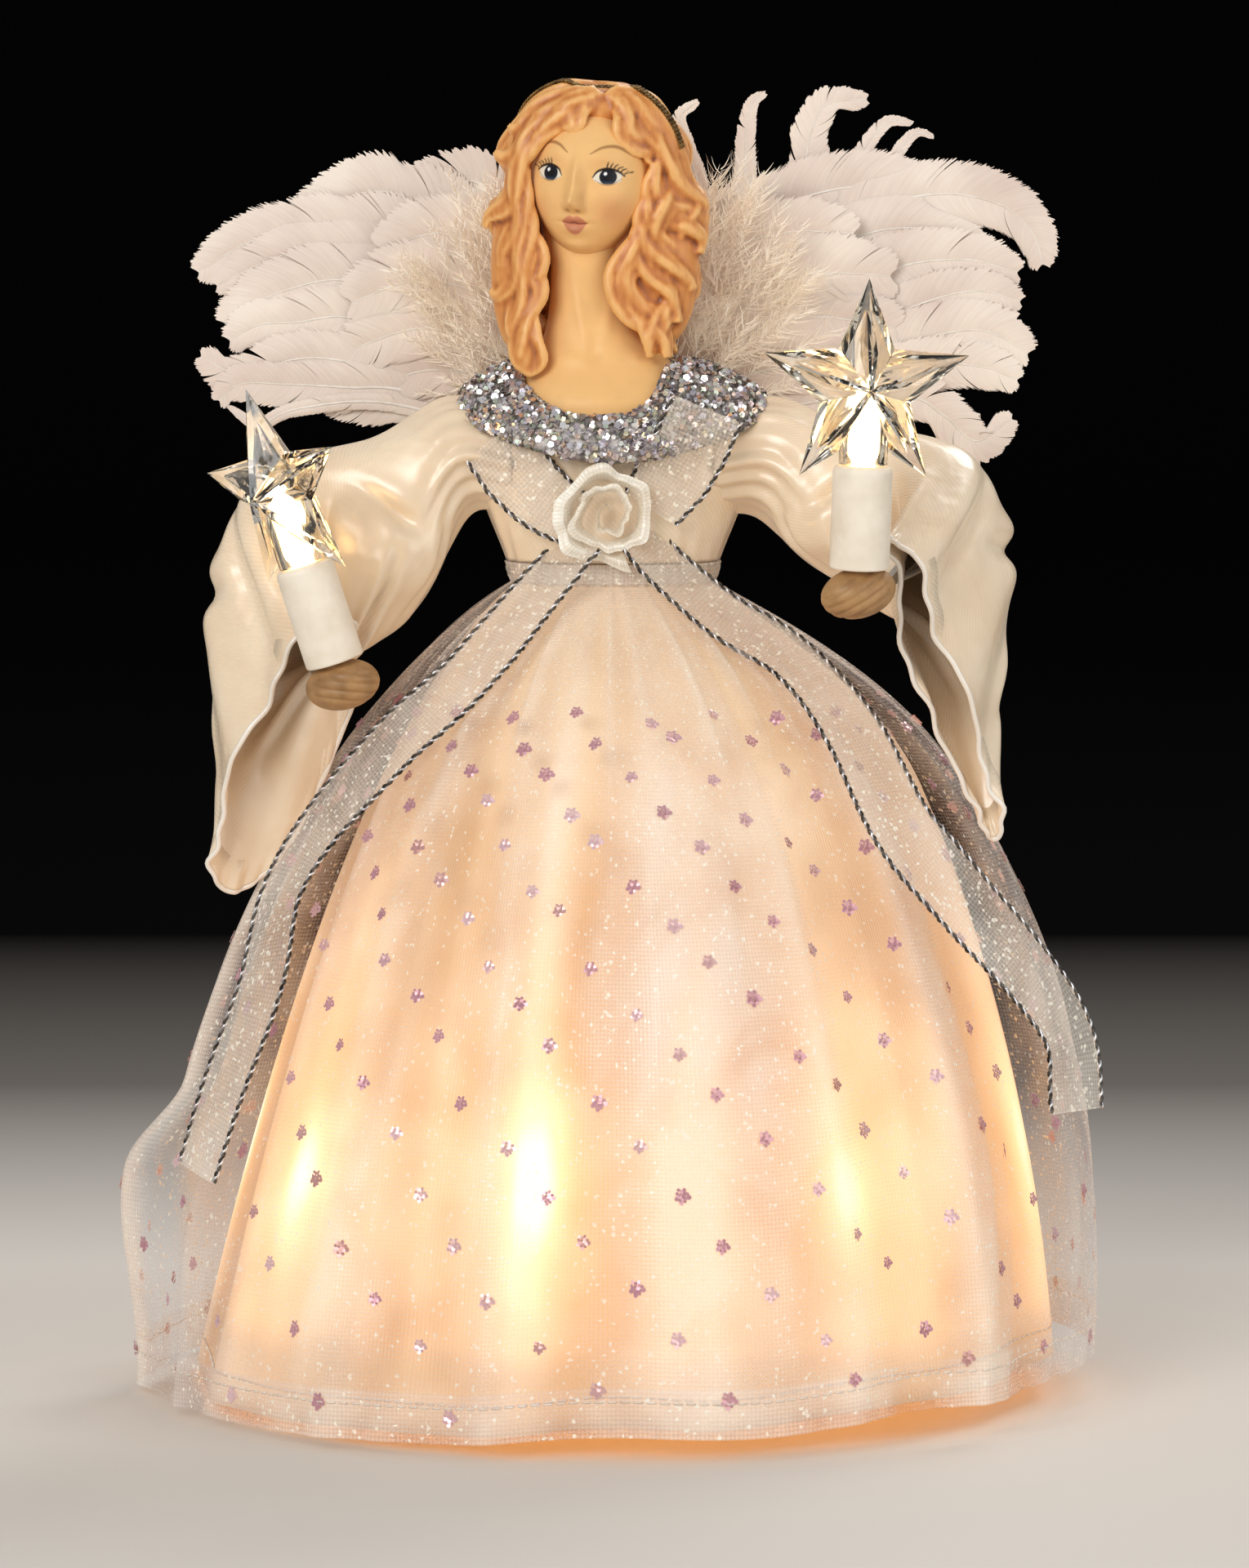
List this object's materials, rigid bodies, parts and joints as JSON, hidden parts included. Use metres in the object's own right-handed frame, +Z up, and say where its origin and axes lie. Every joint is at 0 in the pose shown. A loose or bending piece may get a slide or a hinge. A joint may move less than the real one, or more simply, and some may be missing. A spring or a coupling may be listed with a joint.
{
  "type": "angel tree topper",
  "caption": "Lighted angel tree topper: hollow cone base under a satin and organza gown, feather wings, moulded head, and posable arms holding candle lamps under clear star covers.",
  "frame": {"origin": "centre of the skirt's hem circle, on the surface that the cone's rim stands on", "axes": "+Z up, the angel faces -Y, +X to the right of a viewer who faces it"},
  "size_m": [0.1842, 0.1842, 0.2508],
  "materials": {
    "cone_plastic": "translucent white, satin",
    "torso_foam": "matt",
    "painted_skin": "painted, eggshell",
    "painted_hair": "painted, eggshell",
    "gilt_band": "dark gilt",
    "glitter": "iridescent silver glitter",
    "satin": "ivory satin",
    "lining_satin": "thin ivory lining, lit from inside",
    "organza": "sheer, with glitter dots",
    "ribbon_organza": "sheer, with metallic thread edges",
    "rosette_cloth": "coiled organza",
    "card": "matt",
    "feather": "white goose feather and down",
    "holder_plastic": "moulded, satin",
    "lit_glass": "warm white lamp",
    "clear_star": "clear",
    "lead_insulation": "white PVC",
    "arm_wire": "grey armature",
    "painted_hand": "painted, matt"
  },
  "bodies": {
    "dressed_cone": {"base_cone": "cone_plastic", "bodice": "satin", "bust": "painted_skin", "glitter_collar": "glitter", "headband": "gilt_band", "left_body_lead": "lead_insulation", "left_chest_ribbon": "ribbon_organza", "left_ribbon_tail": "ribbon_organza", "left_wing_down": "feather", "left_wing_feathers": "feather", "moulded_hair": "painted_hair", "overskirt": "organza", "ribbon_rose": "rosette_cloth", "right_body_lead": "lead_insulation", "right_chest_ribbon": "ribbon_organza", "right_ribbon_tail": "ribbon_organza", "right_wing_down": "feather", "right_wing_feathers": "feather", "skirt_lamp_bulb_1": "lit_glass", "skirt_lamp_bulb_2": "lit_glass", "skirt_lamp_bulb_3": "lit_glass", "skirt_lamp_bulb_4": "lit_glass", "skirt_lamp_bulb_5": "lit_glass", "skirt_lamp_bulb_6": "lit_glass", "skirt_lamp_bulb_7": "lit_glass", "skirt_lamp_bulb_8": "lit_glass", "skirt_lamp_holder_1": "holder_plastic", "skirt_lamp_holder_2": "holder_plastic", "skirt_lamp_holder_3": "holder_plastic", "skirt_lamp_holder_4": "holder_plastic", "skirt_lamp_holder_5": "holder_plastic", "skirt_lamp_holder_6": "holder_plastic", "skirt_lamp_holder_7": "holder_plastic", "skirt_lamp_holder_8": "holder_plastic", "skirt_lamp_wire": "lead_insulation", "torso_former": "torso_foam", "underskirt": "lining_satin", "waist_band": "ribbon_organza", "wing_card": "card"},
    "left_arm": {"left_arm_wire": "arm_wire", "left_hand": "painted_hand", "left_candle_lead": "lead_insulation", "left_candle_holder": "holder_plastic", "left_sleeve": "satin"},
    "left_bulb": {"left_candle_bulb": "lit_glass"},
    "left_star": {"left_star_cover": "clear_star"},
    "right_arm": {"right_arm_wire": "arm_wire", "right_hand": "painted_hand", "right_candle_lead": "lead_insulation", "right_candle_holder": "holder_plastic", "right_sleeve": "satin"},
    "right_bulb": {"right_candle_bulb": "lit_glass"},
    "right_star": {"right_star_cover": "clear_star"}
  },
  "joints": [
    {"name": "left_shoulder", "type": "hinge", "parent": "dressed_cone", "child": "left_arm", "pos_m": [-0.0275, 0, 0.1768], "axis": [-0.8093, 0.5874, 0], "range_deg": [0, 17]},
    {"name": "left_bulb_pull", "type": "slide", "parent": "left_arm", "child": "left_bulb", "axis": [-0.3043, -0.0571, 0.9509], "range_m": [0, 0.016]},
    {"name": "left_star_pull", "type": "slide", "parent": "left_bulb", "child": "left_star", "axis": [-0.3043, -0.0571, 0.9509], "range_m": [0, 0.03]},
    {"name": "right_shoulder", "type": "hinge", "parent": "dressed_cone", "child": "right_arm", "pos_m": [0.0275, 0, 0.1768], "axis": [-0.9346, -0.3556, 0], "range_deg": [-4, 14]},
    {"name": "right_bulb_pull", "type": "slide", "parent": "right_arm", "child": "right_bulb", "axis": [0.0299, -0.0797, 0.9964], "range_m": [0, 0.016]},
    {"name": "right_star_pull", "type": "slide", "parent": "right_bulb", "child": "right_star", "axis": [0.0299, -0.0797, 0.9964], "range_m": [0, 0.03]}
  ]
}
